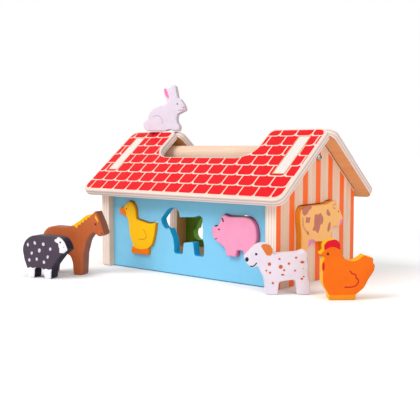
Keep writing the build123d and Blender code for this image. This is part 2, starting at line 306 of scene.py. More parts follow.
@dataclass(frozen=True)
class BareWood(Finish):
    """Sanded bare wood."""

    DEPTH: ClassVar[float] = 0.08

    light: Color = (236, 205, 170)
    dark: Color = (206, 160, 116)

    def surface(self, canvas: Canvas) -> tuple[Inputs, Value]:
        """Give the shader's inputs and the relief's height."""
        inputs = {"Vector": canvas.along, "Light": linear(self.light), "Dark": linear(self.dark)}
        grain = canvas.group(canvas.groups.grain, inputs)
        return {"Base Color": grain["Color"], "Roughness": 0.62, "Specular IOR Level": 0.3}, grain["Height"]


@dataclass(frozen=True)
class PlyEdge(Finish):
    """Cut edge of plywood, with its layers stacked along one axis of the board."""

    DEPTH: ClassVar[float] = 0.10

    light: Color = (246, 230, 220)
    dark: Color = (224, 196, 182)
    layer: float = 1.6
    stacked: str = "X"

    def surface(self, canvas: Canvas) -> tuple[Inputs, Value]:
        """Give the shader's inputs and the relief's height."""
        axes = canvas.node("ShaderNodeSeparateXYZ", {0: canvas.board}).outputs
        layers = canvas.group(canvas.groups.layers, {
            "Across": canvas.math("DIVIDE", axes[self.stacked], MM), "Vector": canvas.board,
            "Layer": self.layer, "Light": linear(self.light), "Dark": linear(self.dark),
        })
        return {"Base Color": layers["Color"], "Roughness": 0.7, "Specular IOR Level": 0.25}, layers["Height"]


@dataclass(frozen=True)
class Paint(Finish):
    """Painted wood: a plain colour with faint clouds and fibres."""

    DEPTH: ClassVar[float] = 0.05
    SHADE_SHARE: ClassVar[float] = 0.90     # of the colour, where no shade is given

    color: Color = (200, 200, 200)
    shade: Optional[Color] = None
    fibres: float = 0.12
    gloss: float = 0.04

    def surface(self, canvas: Canvas) -> tuple[Inputs, Value]:
        """Give the shader's inputs and the relief's height."""
        shade = self.shade or tuple(round(value * self.SHADE_SHARE) for value in self.color)
        coat = canvas.group(canvas.groups.coat, {
            "Vector": canvas.along, "Paint": linear(self.color), "Shade": linear(shade), "Grain": self.fibres
        })
        inputs = {
            "Base Color": coat["Color"], "Roughness": coat["Roughness"], "Specular IOR Level": 0.15,
            "Coat Weight": self.gloss, "Coat Roughness": 0.35,
        }
        return inputs, coat["Height"]


def ink(name: str, color: Color) -> Paint:
    """Paint with no fibres, for lines and small marks."""
    return Paint(name, color=color, fibres=0.0)


@dataclass(frozen=True)
class Metal(Finish):
    """Plated steel with fine scratches."""

    DEPTH: ClassVar[float] = 0.03
    SCRATCHES: ClassVar[Pattern] = Pattern((4000.0, 4000.0, 300.0), 3.0, 0.6)
    ROUGHNESS: ClassVar[tuple[float, float]] = (0.25, 0.25)    # by the scratches, and least

    color: Color = (168, 162, 154)

    def surface(self, canvas: Canvas) -> tuple[Inputs, Value]:
        """Give the shader's inputs and the relief's height."""
        scratches = canvas.noise(canvas.along, self.SCRATCHES)
        roughness = canvas.math("MULTIPLY_ADD", scratches, *self.ROUGHNESS)
        return {"Base Color": linear(self.color), "Metallic": 1.0, "Roughness": roughness}, scratches


class Paintbox:
    """Builds each finish once and hands out its material."""

    def __init__(self) -> None:
        """Build the shared groups."""
        self.groups = SharedGroups()
        self.made: dict[str, Material] = {}

    def material(self, finish: Finish) -> Material:
        """Material of a finish, built when it is first asked for."""
        if finish.name not in self.made:
            self.made[finish.name] = finish.build(self.groups)
        return self.made[finish.name]


# Meshes

def make_object(name: str, work: BMesh) -> Object:
    """Make an object at the origin from a bmesh in metres, and free the bmesh."""
    mesh = bpy.data.meshes.new(name)
    work.to_mesh(mesh)
    work.free()
    made = bpy.data.objects.new(name, mesh)
    bpy.context.scene.collection.objects.link(made)
    return made


def merged_solid(node: Object) -> BMesh:
    """Copy a node's loose triangles into one closed mesh, with its corners merged."""
    source = node.data.copy()
    normals = source.attributes.get("custom_normal")
    if normals is not None:
        source.attributes.remove(normals)
    work = bmesh.new()
    work.from_mesh(source)
    bpy.data.meshes.remove(source)
    bmesh.ops.remove_doubles(work, verts=work.verts, dist=MERGE_DISTANCE)
    work.normal_update()
    return work


def smooth(piece: Object) -> None:
    """Shade a piece smooth between its sharp edges, with its flat faces kept flat."""
    piece.data.shade_smooth()
    piece.data.set_sharp_from_angle(angle=math.radians(SHARP_ANGLE))
    weighted = piece.modifiers.new("even_normals", "WEIGHTED_NORMAL")
    weighted.keep_sharp = True
    weighted.weight = 100


def cut(work: BMesh, cuts: Sequence[tuple[str, BMesh]]) -> BMesh:
    """Cut a mesh by solids, each with INTERSECT or DIFFERENCE, and return what is left.

    The mesh and the solids are freed.
    """
    blank = make_object("blank", work)
    solids = []
    for index, (operation, tool) in enumerate(cuts):
        solid = make_object(f"tool_{index}", tool)
        solids.append(solid)
        step = blank.modifiers.new(solid.name, "BOOLEAN")
        step.operation = operation
        step.solver = "EXACT"
        step.object = solid
    bpy.context.view_layer.update()
    result = bmesh.new()
    result.from_object(blank, bpy.context.evaluated_depsgraph_get())
    for item in [blank, *solids]:
        bpy.data.objects.remove(item)
    return result


def split(work: BMesh, place: Point3, way: Point3, clear: bool = False) -> None:
    """Split a mesh's faces at a plane, and clear what lies beyond it if that is asked for."""
    everything = work.verts[:] + work.edges[:] + work.faces[:]
    bmesh.ops.bisect_plane(
        work, geom=everything, dist=MERGE_DISTANCE, plane_co=place, plane_no=way, clear_outer=clear
    )


def thicken(part: BMesh, reach: Point3) -> None:
    """Turn the flat faces of a mesh into closed prisms that reach this far from them."""
    raised = bmesh.ops.extrude_face_region(part, geom=part.faces[:], use_keep_orig=True)
    top = [item for item in raised["geom"] if isinstance(item, BMVert)]
    bmesh.ops.translate(part, vec=reach, verts=top)
    bmesh.ops.recalc_face_normals(part, faces=part.faces)


def raise_prism(part: BMesh, low: float, high: float) -> None:
    """Turn the flat faces of a mesh into closed prisms between two heights."""
    for vert in part.verts:
        vert.co.z = low
    thicken(part, (0.0, 0.0, high - low))


def append(work: BMesh, part: BMesh) -> None:
    """Add one bmesh to another and free it."""
    carrier = bpy.data.meshes.new("carrier")
    part.to_mesh(carrier)
    part.free()
    work.from_mesh(carrier)
    bpy.data.meshes.remove(carrier)


CORNER_ROOM = 0.49      # share of its shorter side that a rounded corner may take


def rounded_prism(corners: Sequence[Point3], segments: int, low: float, high: float) -> BMesh:
    """Make a closed prism between two heights, inside a few corners.

    Each corner has its u, its v and the radius that rounds it off in so many segments.
    """
    part = bmesh.new()
    verts = [part.verts.new((u, v, 0.0)) for u, v, _ in corners]
    part.faces.new(verts)
    sides = [[edge.other_vert(vert).co - vert.co for edge in vert.link_edges] for vert in verts]
    for vert, (first, second), (_, _, radius) in zip(verts, sides, corners):
        if radius > 0:
            reach = radius / math.tan(first.angle(second) / 2)
            room = CORNER_ROOM * min(first.length, second.length)
            bmesh.ops.bevel(
                part, geom=[vert], offset=min(reach, room), offset_type="OFFSET", segments=segments,
                profile=0.5, affect="VERTICES", clamp_overlap=False, material=-1,
            )
    raise_prism(part, low, high)
    return part


@dataclass(frozen=True)
class FacePlane:
    """A printed face: u along it, v up it and w out of it, from an origin in millimetres."""

    x: float
    y: float
    z: float
    turn: float = 0.0
    lean: float = 0.0

    def matrix(self) -> Matrix:
        """Matrix from u, v and w in millimetres to the frame in metres."""
        stand = Matrix.Rotation(math.radians(90.0 - self.lean), 4, "X")
        spin = Matrix.Rotation(math.radians(self.turn), 4, "Z")
        place = Matrix.Translation(Vector((self.x, self.y, self.z)) * MM)
        return place @ spin @ stand @ Matrix.Scale(MM, 4)

    def outward(self) -> Vector:
        """Direction out of the face."""
        return (self.matrix().to_3x3() @ Vector((0.0, 0.0, 1.0))).normalized()


# Shapes of paint, each drawn on a face

@dataclass(frozen=True)
class Spot:
    """An oval spot."""

    SEGMENTS: ClassVar[int] = 24

    u: float
    v: float
    width: float
    height: float
    tilt: float = 0.0

    def draw(self, work: BMesh, low: float, high: float) -> None:
        """Add the spot between two heights."""
        part = bmesh.new()
        place = Matrix.Translation((self.u, self.v, 0.0))
        turn = Matrix.Rotation(math.radians(self.tilt), 4, "Z")
        stretch = Matrix.Diagonal((self.width, self.height, 1.0, 1.0))
        bmesh.ops.create_circle(
            part, cap_ends=True, segments=self.SEGMENTS, radius=0.5, matrix=place @ turn @ stretch
        )
        raise_prism(part, low, high)
        append(work, part)


@dataclass(frozen=True)
class Patch:
    """A patch inside a few corners, which are rounded off."""

    SEGMENTS: ClassVar[int] = 4     # in each corner

    corners: Sequence[Point]
    soft: float = 1.5

    def draw(self, work: BMesh, low: float, high: float) -> None:
        """Add the patch between two heights."""
        corners = [(u, v, self.soft) for u, v in self.corners]
        append(work, rounded_prism(corners, self.SEGMENTS, low, high))


@dataclass(frozen=True)
class Stroke:
    """A line of even width along a smooth path."""

    STEPS: ClassVar[int] = 6        # between two of its points
    ROUNDING: ClassVar[int] = 2     # of its section
    ORDER: ClassVar[int] = 3        # of the curve through its points

    points: Sequence[Point]
    width: float = 0.7

    def draw(self, work: BMesh, low: float, high: float) -> None:
        """Add the line, half sunk in the face and risen to the upper height."""
        curve = bpy.data.curves.new("stroke", "CURVE")
        curve.dimensions = "3D"
        curve.resolution_u = self.STEPS
        curve.bevel_depth = self.width / 2
        curve.bevel_resolution = self.ROUNDING
        curve.use_fill_caps = True
        path = curve.splines.new("NURBS")
        path.points.add(len(self.points) - 1)
        for point, (u, v) in zip(path.points, self.points):
            point.co = (u, v, 0.0, 1.0)
        path.order_u = self.ORDER
        path.use_endpoint_u = True
        carrier = bpy.data.objects.new("stroke", curve)
        mesh = bpy.data.meshes.new_from_object(carrier)
        part = bmesh.new()
        part.from_mesh(mesh)
        flatten = Matrix.Diagonal((1.0, 1.0, 2.0 * high / self.width, 1.0))
        bmesh.ops.transform(part, matrix=flatten, verts=part.verts)
        bmesh.ops.recalc_face_normals(part, faces=part.faces)
        append(work, part)
        bpy.data.objects.remove(carrier)
        bpy.data.meshes.remove(mesh)
        bpy.data.curves.remove(curve)


Shape = Union[Spot, Patch, Stroke]


@dataclass(frozen=True)
class Print:
    """Shapes of one finish, either flat on the face or wrapped over its broken edge."""

    name: str
    finish: Finish
    shapes: Sequence[Shape]
    wraps: bool = False


# Pieces

class Shop:
    """Makes the pieces: it holds the frame's nodes and the paints."""

    def __init__(self, nodes: dict[str, Object], paints: Paintbox) -> None:
        """Keep the nodes and the paints."""
        self.nodes = nodes
        self.paints = paints

    def finish_piece(
        self, name: str, work: BMesh, finishes: Sequence[Finish], body: str
    ) -> Object:
        """Make a smooth piece that rides on its body, from a mesh in metres, which is freed.

        It has a finish for each material index.
        """
        piece = make_object(name, work)
        for finish in finishes:
            piece.data.materials.append(self.paints.material(finish))
        smooth(piece)
        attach(piece, body)
        return piece

    def dress_copy(
        self,
        node: str,
        finishes: Sequence[Finish],
        choose: Callable[[BMFace], int],
        body: str,
        scored: Sequence[float] = (),
    ) -> None:
        """Show a node as a smoothed copy, where choose gives the index of each face's finish.

        The faces are split at the scored places on Y first, so that their parts can differ.
        """
        work = merged_solid(self.nodes[node])
        for place in scored:
            split(work, (0.0, place, 0.0), (0.0, 1.0, 0.0))
        for face in work.faces:
            face.material_index = choose(face)
        piece = self.finish_piece(f"{node}_board", work, finishes, body)
        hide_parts(node)

    def paint_node(self, node: str, finish: Finish) -> None:
        """Give a node that keeps its own mesh a finish all over."""
        material = self.paints.material(finish)
        for holder in self.nodes[node].material_slots:
            holder.material = material
        LOG.info("%s: %s", node, finish.name)


@dataclass(frozen=True)
class Animal:
    """A wooden animal: its printed face, the finishes of its board and its prints."""

    WRAP_DEPTH: ClassVar[float] = 1.4       # how far a wrapped print reaches down the edge
    WRAP_RISE: ClassVar[float] = 1.0        # how far its tool stands above the face
    FRONT_SHARE: ClassVar[float] = 0.6      # the broken edge counts as the front above this

    name: str
    slot: str
    face: FacePlane
    front: Finish
    side: Finish
    prints: Sequence[Print]

    @property
    def body(self) -> str:
        """Name of the body that the animal is."""
        return f"{self.name}_piece"

    def add_print(self, shop: Shop, mark: Print) -> None:
        """Lay one print on the face, and keep it above the table."""
        work = bmesh.new()
        low, high = (-self.WRAP_DEPTH, self.WRAP_RISE) if mark.wraps else (0.0, FILM)
        for shape in mark.shapes:
            shape.draw(work, low, high)
        bmesh.ops.transform(work, matrix=self.face.matrix(), verts=work.verts)
        if mark.wraps:
            work = cut(work, [("INTERSECT", merged_solid(shop.nodes[self.name]))])
            bmesh.ops.remove_doubles(work, verts=work.verts, dist=MERGE_DISTANCE)
            work.normal_update()
            for vert in work.verts:
                vert.co += vert.normal * FILM * MM
                vert.co.z = max(vert.co.z, 0.0)
        shop.finish_piece(f"{self.name}_{mark.name}", work, [mark.finish], self.body)

    def build(self, shop: Shop) -> None:
        """Dress the board and lay its prints."""
        outward = self.face.outward()
        shop.dress_copy(
            self.name, [self.front, self.side],
            lambda face: 0 if face.normal.dot(outward) > self.FRONT_SHARE else 1, self.body,
        )
        for mark in self.prints:
            self.add_print(shop, mark)
        LOG.info("%s: board and %d prints", self.name, len(self.prints))


# The eight animals

BLACK = ink("black_ink", (40, 34, 38))


def duck() -> Animal:
    """Yellow duck in the left slot of the front wall."""
    orange = Paint("duck_orange", color=(255, 122, 6))
    beak = Patch([(-24.8, 54.0), (-19.4, 45.4), (-21.2, 39.0), (-36.0, 42.0), (-36.0, 53.0)], 0.6)
    foot = Patch([(-15.0, 9.4), (-9.6, 8.9), (-5.4, 6.2), (3.5, 5.5), (14.6, 7.6), (18.0, 7.0),
                  (18.0, -2.0), (-15.0, -2.0)], 0.8)
    wing = Stroke([(8.0, 28.8), (12.2, 24.0), (12.9, 19.6), (8.0, 16.6), (0.0, 17.1)], 1.1)
    return Animal(
        "duck", "duck_yellow", FacePlane(-67.0, -71.0, 18.0),
        Paint("duck_yellow", color=(255, 196, 6), shade=(252, 182, 6)),
        Paint("duck_side", color=(236, 146, 20)),
        (
            Print("beak", orange, [beak], wraps=True),
            Print("foot", orange, [foot], wraps=True),
            Print("eye", ink("duck_eye", (112, 66, 24)), [Spot(-19.2, 50.4, 1.8, 2.0)]),
            Print("wing", ink("duck_line", (226, 146, 8)), [wing]),
        ),
    )


def pig() -> Animal:
    """Pink pig in the right slot of the front wall."""
    line = ink("pig_line", (104, 40, 60))
    return Animal(
        "pig", "pig_pink", FacePlane(72.0, -72.5, 28.0),
        Paint("pig_pink", color=(248, 158, 194)),
        # A darker pink on the edges: painted shade on the pig's sides in its slot.
        Paint("pig_side_shaded", color=(232, 122, 162)),
        (
            Print("eye", line, [Spot(-19.1, 26.5, 2.1, 2.1)]),
            Print("ear", line, [Patch([(-16.0, 38.4), (-14.0, 38.6), (-12.5, 35.2), (-13.6, 33.9)], 0.3)]),
            Print("mouth", line, [Stroke([(-25.0, 16.2), (-23.2, 15.9), (-21.4, 17.6)], 0.8)]),
        ),
    )


def cow() -> Animal:
    """Buff cow with brown patches in the slot of the right gable."""
    patch = Paint("cow_patch", color=(202, 122, 104))
    pink = Paint("cow_pink", color=(240, 136, 206))
    rump = Patch([(-37.6, 56.0), (-20.8, 56.0), (-21.9, 52.0), (-25.9, 50.5), (-29.1, 47.1),
                  (-34.7, 45.3), (-38.2, 48.3)], 0.9)
    patches = [
        Patch([(-31.4, 44.2), (-28.0, 43.2), (-23.3, 43.4), (-25.7, 37.0), (-28.5, 38.4),
               (-32.1, 37.6)], 0.9),
        Patch([(-15.2, 45.8), (-10.2, 45.0), (-4.3, 46.2), (-0.2, 42.0), (0.9, 38.7), (-0.7, 35.1),
               (-4.9, 34.1), (-6.0, 30.4), (-9.4, 25.4), (-14.0, 28.9), (-19.8, 29.4), (-16.4, 34.4),
               (-16.2, 41.0)], 1.2),
        Patch([(6.9, 48.8), (9.6, 49.6), (11.6, 47.0), (14.2, 44.4), (13.6, 41.8), (9.6, 42.6),
               (6.4, 44.8)], 0.9),
        Spot(11.9, 30.6, 5.2, 10.6, -22.0),
        Patch([(-30.8, 29.6), (-27.0, 29.4), (-25.2, 25.6), (-28.6, 25.9)], 0.8),
    ]
    lines = [
        Stroke([(-37.4, 44.6), (-38.0, 37.0), (-34.6, 31.4), (-30.0, 28.6)], 0.6),
        Stroke([(-36.0, 43.4), (-36.6, 37.2), (-33.4, 32.2), (-29.4, 29.8)], 0.6),
        Stroke([(25.4, 53.6), (21.0, 54.2), (18.6, 51.6), (20.6, 49.2), (24.9, 49.5)], 0.7),
    ]
    muzzle = Patch([(33.2, 28.4), (32.9, 33.8), (35.2, 36.2), (42.0, 38.0), (43.0, 28.0)], 0.8)
    udder = Patch([(-25.4, 20.6), (-18.0, 20.8), (-14.0, 18.0), (-20.0, 12.0), (-28.0, 9.8)], 0.9)
    return Animal(
        "cow", "cow_buff", FacePlane(131.3, 0.0, 25.0, turn=90.0),
        Paint("cow_buff", color=(255, 194, 118), shade=(255, 186, 106)),
        Paint("cow_side", color=(250, 158, 44)),
        (
            Print("rump", patch, [rump], wraps=True),
            Print("patches", patch, patches),
            Print("muzzle", pink, [muzzle], wraps=True),
            Print("udder", pink, [udder], wraps=True),
            Print("lines", ink("cow_line", (190, 110, 90)), lines),
            Print("eye", BLACK, [Spot(30.4, 45.6, 1.8, 1.9)]),
        ),
    )


def dog() -> Animal:
    """White dog with brown spots beside the right front corner."""
    brown = Paint("dog_brown", color=(204, 98, 42))
    spots = [
        Spot(-17.3, 29.4, 3.2, 3.4), Spot(-7.9, 34.2, 2.2, 2.0), Spot(7.6, 35.4, 2.6, 2.0),
        Spot(13.4, 31.1, 4.0, 2.4), Spot(0.9, 29.8, 2.4, 2.4), Spot(-6.7, 26.8, 3.8, 3.8),
        Spot(-3.5, 23.6, 2.2, 2.0), Spot(-4.8, 19.3, 3.4, 1.8), Spot(-20.2, 23.3, 1.8, 1.8),
        Spot(-16.7, 21.3, 2.2, 2.2), Spot(-14.0, 11.5, 2.0, 2.4), Spot(6.7, 23.2, 2.0, 2.0),
        Spot(14.5, 25.2, 1.0, 1.0), Spot(14.9, 17.5, 1.8, 1.6), Spot(13.2, 15.4, 2.6, 2.2),
    ]
    ear = Patch([(-26.0, 47.4), (-21.5, 48.5), (-17.2, 47.5), (-14.4, 43.8), (-14.2, 40.2),
                 (-16.3, 37.1), (-20.1, 37.8), (-23.2, 42.7)], 1.6)
    folds = [
        Stroke([(-24.6, 46.8), (-21.3, 47.8), (-17.8, 46.8), (-15.2, 43.4), (-15.0, 40.3), (-16.8, 38.0),
                (-19.4, 38.6), (-22.2, 42.6), (-24.4, 46.4)], 0.6),
        Stroke([(-21.4, 45.4), (-19.0, 43.0), (-17.9, 40.4)], 0.5),
    ]
    mouth = Stroke([(-35.3, 27.6), (-33.4, 26.9), (-31.0, 28.2), (-29.1, 30.7)], 1.1)
    return Animal(
        "dog", "dog_white", FacePlane(145.7, -83.1, 0.0, turn=42.0),
        Paint("dog_white", color=(232, 221, 234)),
        Paint("dog_side", color=(244, 236, 242)),
        (
            Print("spots", brown, spots),
            Print("ear", Paint("dog_ear", color=(226, 122, 54)), [ear]),
            Print("ear_folds", ink("dog_fold", (196, 92, 38)), folds),
            Print("nose", BLACK, [Spot(-38.3, 33.9, 3.0, 4.2)], wraps=True),
            Print("eye", BLACK, [Spot(-29.7, 38.8, 2.3, 2.4)]),
            Print("mouth", BLACK, [mouth]),
        ),
    )


def hen() -> Animal:
    """Orange hen beside the right gable."""
    red = Paint("hen_red", color=(220, 4, 32))
    comb = Patch([(-16.4, 45.6), (-16.9, 50.3), (-14.0, 53.6), (-10.4, 55.0), (-6.1, 55.2), (-2.9, 52.0),
                  (-2.3, 45.8), (-5.6, 48.0), (-9.6, 48.8), (-12.8, 48.0)], 0.8)
    wattle = Patch([(-18.0, 36.2), (-16.6, 33.4), (-16.5, 28.8), (-17.2, 27.2), (-21.0, 26.6),
                    (-21.0, 35.6)], 0.8)
    base = Patch([(-16.0, 5.2), (-8.0, 4.6), (6.0, 4.6), (15.0, 5.8), (15.0, -2.0), (-16.0, -2.0)], 0.4)
    wing = Stroke([(6.3, 26.8), (8.2, 25.6), (8.6, 23.8), (11.0, 24.2), (12.4, 22.6), (12.0, 20.0),
                   (14.2, 19.4), (14.8, 16.8), (13.0, 13.6), (8.4, 11.7), (1.9, 12.0)], 1.2)
    return Animal(
        "hen", "hen_orange", FacePlane(196.9, -70.7, 0.0, turn=43.0),
        Paint("hen_orange", color=(244, 112, 2), shade=(220, 84, 4)),
        Paint("hen_side", color=(255, 194, 18), shade=(252, 170, 30)),
        (
            Print("comb", red, [comb], wraps=True),
            Print("wattle", red, [wattle], wraps=True),
            Print("base", Paint("hen_base", color=(240, 150, 24)), [base], wraps=True),
            Print("eye", ink("hen_eye", (84, 40, 18)), [Spot(-13.6, 42.4, 2.4, 2.4)]),
            Print("wing", ink("hen_line", (196, 30, 30)), [wing]),
        ),
    )


def sheep() -> Animal:
    """Charcoal sheep with a white face, in front of the left end."""
    white = Paint("sheep_white", color=(244, 242, 250))
    dots = [
        Spot(-13.5, 35.3, 2.4, 4.0), Spot(-4.7, 37.5, 2.8, 4.0, 20.0), Spot(6.0, 36.6, 3.4, 3.6),
        Spot(14.6, 31.9, 2.8, 3.6, -12.0), Spot(0.9, 29.7, 3.4, 4.4, -16.0),
        Spot(-8.8, 26.5, 2.8, 3.4, -24.0), Spot(11.2, 23.4, 2.6, 3.6, -20.0),
        Spot(-2.6, 20.3, 2.8, 3.4), Spot(-12.0, 19.0, 2.8, 3.6), Spot(6.4, 17.6, 3.0, 3.6),
    ]
    legs = Patch([(-20.0, 11.2), (-13.2, 10.4), (-10.8, 11.4), (-8.0, 10.2), (-5.4, 11.2), (-1.0, 10.2),
                  (3.0, 11.2), (5.8, 9.6), (8.8, 10.8), (11.6, 9.8), (18.0, 11.0), (18.0, -2.0),
                  (-20.0, -2.0)], 0.8)
    head = Patch([(25.2, 47.7), (27.6, 46.7), (32.5, 39.6), (38.5, 31.5), (34.8, 28.2), (30.0, 28.4),
                  (25.9, 28.8), (26.0, 33.0), (25.0, 35.2), (24.9, 38.4), (22.4, 39.2), (20.1, 40.9),
                  (20.6, 42.4), (22.8, 42.9)], 0.7)
    return Animal(
        "sheep", "sheep_charcoal", FacePlane(-105.8, -179.1, 0.0, turn=18.0),
        Paint("sheep_charcoal", color=(80, 66, 80), shade=(62, 50, 66), fibres=0.3),
        Paint("sheep_side", color=(34, 34, 52)),
        (
            Print("head", white, [head], wraps=True),
            Print("legs", white, [legs], wraps=True),
            Print("dots", ink("sheep_dots", (215, 210, 220)), dots),
            Print("eye", BLACK, [Spot(27.0, 39.5, 2.0, 2.2), Spot(31.5, 34.7, 0.9, 1.2)]),
        ),
    )


def horse() -> Animal:
    """Brown horse with a yellow mane, behind the sheep."""
    yellow = Paint("horse_mane", color=(252, 190, 8))
    mane = Patch([(-7.6, 55.1), (1.0, 61.8), (10.3, 68.5), (19.8, 70.0), (17.9, 65.9), (16.1, 65.5),
                  (14.8, 63.0), (13.0, 63.7), (11.5, 60.2), (9.3, 61.2), (7.6, 57.3), (5.2, 58.1),
                  (3.5, 54.4), (1.4, 55.4), (-0.6, 50.9), (-3.1, 52.9)], 0.35)
    forelock = Patch([(22.0, 66.4), (25.2, 60.2), (24.8, 57.6), (23.2, 61.0), (21.4, 62.8)], 0.4)
    return Animal(
        "horse", "horse_brown", FacePlane(-90.8, -139.0, 0.0, turn=21.0),
        Paint("horse_brown", color=(198, 102, 56), shade=(174, 84, 46), fibres=0.35),
        Paint("horse_side", color=(150, 88, 68), fibres=0.2),
        (
            Print("mane", yellow, [mane], wraps=True),
            Print("forelock", yellow, [forelock]),
            Print("eye", BLACK, [Spot(22.0, 56.2, 2.2, 2.2)]),
            Print("nostril", BLACK, [Spot(29.3, 46.8, 0.9, 1.6, -20.0)]),
        ),
    )


def rabbit() -> Animal:
    """Pale rabbit on the ridge."""
    line = ink("rabbit_line", (206, 192, 208))
    inner_ear = Patch([(-0.6, 50.4), (1.4, 50.8), (3.6, 46.4), (5.6, 39.6), (4.4, 38.6), (1.8, 41.4),
                       (-0.4, 46.4)], 0.9)
    haunch = Stroke([(-14.2, 16.6), (-11.0, 18.8), (-6.8, 18.2), (-3.8, 15.0), (-2.6, 11.7),
                     (-2.8, 8.6)], 1.1)
    mouth = Stroke([(16.4, 24.9), (18.6, 24.3), (21.4, 24.8), (23.2, 26.0)], 0.8)
    return Animal(
        "rabbit", "rabbit_lilac", FacePlane(-87.53, -6.36, 157.66, turn=32.0),
        Paint("rabbit_lilac", color=(232, 221, 236)),
        Paint("rabbit_side", color=(204, 190, 202)),
        (
            Print("inner_ear", Paint("rabbit_pink", color=(255, 135, 190)), [inner_ear], wraps=True),
            Print("eye", ink("rabbit_eye", (96, 84, 96)), [Spot(15.6, 32.1, 1.8, 2.0)]),
            Print("nose", ink("rabbit_nose", (246, 104, 156)),
                  [Spot(23.2, 27.7, 2.2, 2.0), Stroke([(20.6, 28.4), (22.0, 28.1), (23.2, 27.9)], 0.7)]),
            Print("haunch", line, [haunch]),
            Print("mouth", ink("rabbit_mouth", (160, 140, 156)), [mouth]),
        ),
    )


# The house

HOUSE = "house"
ROOF_SLOPE = 38.5       # degrees
RIDGE_HEIGHT = 150.86   # where the undersides of the two roof panels meet
TOOL_REACH = 1.0        # of a tool above and below the face whose print it cuts


@dataclass(frozen=True)
class RoofPanels:
    """The two roof panels: plywood with red tiles printed on top."""

    TAB_CORNER: ClassVar[int] = 1       # segments in a tab's sharp corner
    TILE_CORNER: ClassVar[int] = 6      # and in those of a tile
    REGION_CORNER: ClassVar[int] = 8    # and of the printed region

    thickness: float = 8.5
    half_length: float = 141.5
    slope_start: float = 0.25
    slope_end: float = 109.75
    notch_half: float = 69.0
    notch_depth: float = 48.0
    notch_radius: float = 23.0
    lip_radius: float = 6.0
    corner: float = 7.5
    ridge_margin: float = 2.6
    eave_margin: float = 3.8
    side_margin: float = 2.9
    notch_side_margin: float = 2.8
    notch_foot_margin: float = 1.5
    tile_pitch: float = 19.85
    row_pitch: float = 15.83
    first_row: float = 12.5
    first_joint: float = 6.4
    row_drift: float = 0.47
    joint: float = 1.65
    tile_radius: float = 3.8
    tongue: float = 8.0
    tab_middle: float = 118.75
    tab_half_width: float = 6.6
    tab_start: float = 13.35
    tab_end: float = 71.65
    tab_line: float = 0.8

    red: Paint = Paint("roof_red", GrainAxis.X, gloss=0.0, color=(228, 0, 20), shade=(216, 0, 16))
    # A thin brown line drawn round the opening of each tab.
    tab_ring_ink: Paint = ink("tab_ring_brown", (214, 168, 100))

    def face(self) -> FacePlane:
        """Top of the front panel: u along the ridge and v up the slope, from the ridge line."""
        lean = math.radians(ROOF_SLOPE)
        drop = self.thickness * math.sin(lean)
        lift = self.thickness * math.cos(lean)
        return FacePlane(0.0, -drop, RIDGE_HEIGHT + lift, lean=90.0 - ROOF_SLOPE)

    def printed_region(self) -> BMesh:
        """Printed area of a panel as a prism through the film."""
        edge = self.half_length - self.side_margin
        top = -(self.slope_start + self.ridge_margin)
        low = -(self.slope_end - self.eave_margin)
        side = self.notch_half + self.notch_side_margin
        bottom = -(self.notch_depth + self.notch_foot_margin)
        corners = [
            (-edge, top, self.corner), (-edge, low, self.corner), (edge, low, self.corner),
            (edge, top, self.corner), (side, top, self.lip_radius), (side, bottom, self.notch_radius),
            (-side, bottom, self.notch_radius), (-side, top, self.lip_radius),
        ]
        return rounded_prism(corners, self.REGION_CORNER, -TOOL_REACH, TOOL_REACH)

    def tab_box(self, side: int, grow: float) -> BMesh:
        """Prism round a tab's opening, larger than it by grow, on the left (-1) or right (1)."""
        middle = side * self.tab_middle
        reach = self.tab_half_width + grow
        top = -(self.tab_start - grow)
        low = -(self.tab_end + grow)
        left, right = middle - reach, middle + reach
        corners = [(left, low, 0.0), (right, low, 0.0), (right, top, 0.0), (left, top, 0.0)]
        return rounded_prism(corners, self.TAB_CORNER, -TOOL_REACH, TOOL_REACH)

    def add_tile(self, work: BMesh, row: int, column: int, grow: float) -> None:
        """Add one tile, with its two lower corners rounded.

        With grow at 0 it is the printed tile, which reaches up under the row above. Otherwise
        it is its lower part only, larger by grow all round, as a tool through the film.
        """
        half = (self.tile_pitch - self.joint) / 2 + grow
        shift = 0.0 if row % 2 else 0.5
        middle = self.first_joint + self.row_drift * row + (column + shift) * self.tile_pitch
        low = -(self.first_row + row * self.row_pitch) + self.joint / 2 - grow
        high = low + (self.tongue if grow else self.row_pitch + self.tile_radius)
        radius = self.tile_radius + grow
        left, right = middle - half, middle + half
        corners = [(left, low, radius), (right, low, radius), (right, high, 0.0), (left, high, 0.0)]
        heights = (-TOOL_REACH, TOOL_REACH) if grow else (0.0, FILM)
        append(work, rounded_prism(corners, self.TILE_CORNER, *heights))

    def tiles(self) -> BMesh:
        """All tiles: each fills the cusp between the rounded corners of the two above it."""
        rows = math.ceil(self.slope_end / self.row_pitch)
        reach = math.ceil(self.half_length / self.tile_pitch) + 1
        tiles = bmesh.new()
        for parity in (0, 1):
            band = bmesh.new()
            above = (bmesh.new(), bmesh.new())
            for row in range(parity, rows + 1, 2):
                for column in range(-reach, reach + 1):
                    self.add_tile(band, row, column, 0.0)
                    self.add_tile(above[column % 2], row - 1, column, self.joint)
            append(tiles, cut(band, [("DIFFERENCE", tool) for tool in above]))
        return tiles

    def tab_ring_lines(self) -> BMesh:
        """Thin brown line round the opening of each tab."""
        work = bmesh.new()
        for side in (-1, 1):
            ring = self.tab_box(side, self.tab_line)
            append(work, cut(ring, [("DIFFERENCE", self.tab_box(side, 0.0))]))
        for vert in work.verts:
            vert.co.z = FILM if vert.co.z > 0 else 0.0
        return work

    def printed_tiles(self) -> BMesh:
        """The tiles inside the printed region and clear of the tabs."""
        cuts = [("INTERSECT", self.printed_region())]
        cuts += [("DIFFERENCE", self.tab_box(side, self.tab_line)) for side in (-1, 1)]
        return cut(self.tiles(), cuts)

